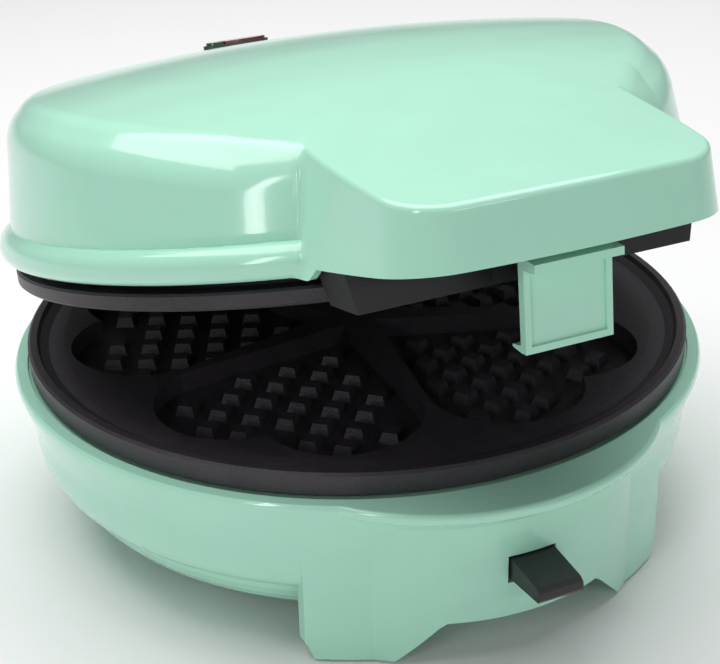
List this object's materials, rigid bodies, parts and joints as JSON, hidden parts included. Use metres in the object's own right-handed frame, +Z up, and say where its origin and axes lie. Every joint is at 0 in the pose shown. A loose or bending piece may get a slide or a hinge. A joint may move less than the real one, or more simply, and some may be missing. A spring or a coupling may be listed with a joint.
{
  "type": "donut maker",
  "caption": "Round clamshell donut maker with heart-shaped waffle cavities, hinged lid with front handle and latch, push-button plate releases, feet and a rear cord outlet.",
  "frame": {"origin": "centre of the footprint's bounding box, on the surface the feet stand on, lid standing open in the rest pose", "axes": "+X to the appliance's left-to-right width as its user faces the back, -Y towards the handle and the user, +Y towards the hinge and cord outlet, +Z up"},
  "size_m": [0.222, 0.2665, 0.1519],
  "materials": {
    "plate": "non-stick coated cast plate, satin",
    "mint_plastic": "gloss moulded",
    "zinc_screw": "zinc plated",
    "pad_rubber": "soft matt",
    "pan_aluminium": "pressed sheet",
    "heater_tube": "heat-dulled tube",
    "clip_steel": "zinc plated",
    "thermostat_body": "stamped can",
    "fuse_body": "plated",
    "terminal_plastic": "moulded",
    "wire_sleeve": "silicone sleeve",
    "gland_rubber": "moulded",
    "pin_steel": "ground",
    "button_plastic": "satin",
    "spring_steel": "drawn wire",
    "liner_plastic": "heat-resistant moulded",
    "bezel_plastic": "satin",
    "lens_red": "tinted clear",
    "lens_green": "tinted clear",
    "lamp_glass": "clear bulb",
    "latch_plastic": "gloss with a textured centre"
  },
  "bodies": {
    "base": {"base_shell": "mint_plastic", "bottom_cover": "mint_plastic", "base_screws": "zinc_screw", "foot_pads": "pad_rubber", "lower_plate": "plate", "lower_plate_clip": "clip_steel", "lower_heater_pan": "pan_aluminium", "lower_heating_element": "heater_tube", "lower_element_clips": "clip_steel", "thermostat": "thermostat_body", "thermal_fuse": "fuse_body", "terminal_block": "terminal_plastic", "base_wires": "wire_sleeve", "cord_gland": "gland_rubber", "hinge_pins": "pin_steel", "lower_release_spring": "spring_steel"},
    "lid": {"lid_shell": "mint_plastic", "lid_liner": "liner_plastic", "lid_screws": "zinc_screw", "lid_wires": "wire_sleeve", "upper_plate": "plate", "upper_plate_clip": "clip_steel", "upper_heater_pan": "pan_aluminium", "upper_heating_element": "heater_tube", "upper_element_clips": "clip_steel", "indicator_bezel": "bezel_plastic", "indicator_lens_red": "lens_red", "indicator_lens_green": "lens_green", "indicator_lamps": "lamp_glass", "upper_release_spring": "spring_steel", "latch_pin": "pin_steel"},
    "latch": {"latch": "latch_plastic"},
    "lower_release": {"lower_release_button": "button_plastic"},
    "upper_release": {"upper_release_button": "button_plastic"}
  },
  "joints": [
    {"name": "lid_hinge", "type": "hinge", "parent": "base", "child": "lid", "pos_m": [0, 0.1164, 0.0707], "axis": [-1, 0, 0], "range_deg": [-13.3, 86.7]},
    {"name": "latch_pivot", "type": "hinge", "parent": "lid", "child": "latch", "pos_m": [0, -0.12223, 0.13358], "axis": [1, 0, 0], "range_deg": [-10, 7]},
    {"name": "lower_release_slide", "type": "slide", "parent": "base", "child": "lower_release", "axis": [0, 1, 0], "range_m": [0, 0.004], "stiffness_N_per_m": 400, "springref_m": -0.001, "deforming": ["lower_release_spring"]},
    {"name": "upper_release_slide", "type": "slide", "parent": "lid", "child": "upper_release", "axis": [0, 0.9732, -0.23], "range_m": [0, 0.0025], "stiffness_N_per_m": 400, "springref_m": -0.001, "deforming": ["upper_release_spring"]}
  ]
}
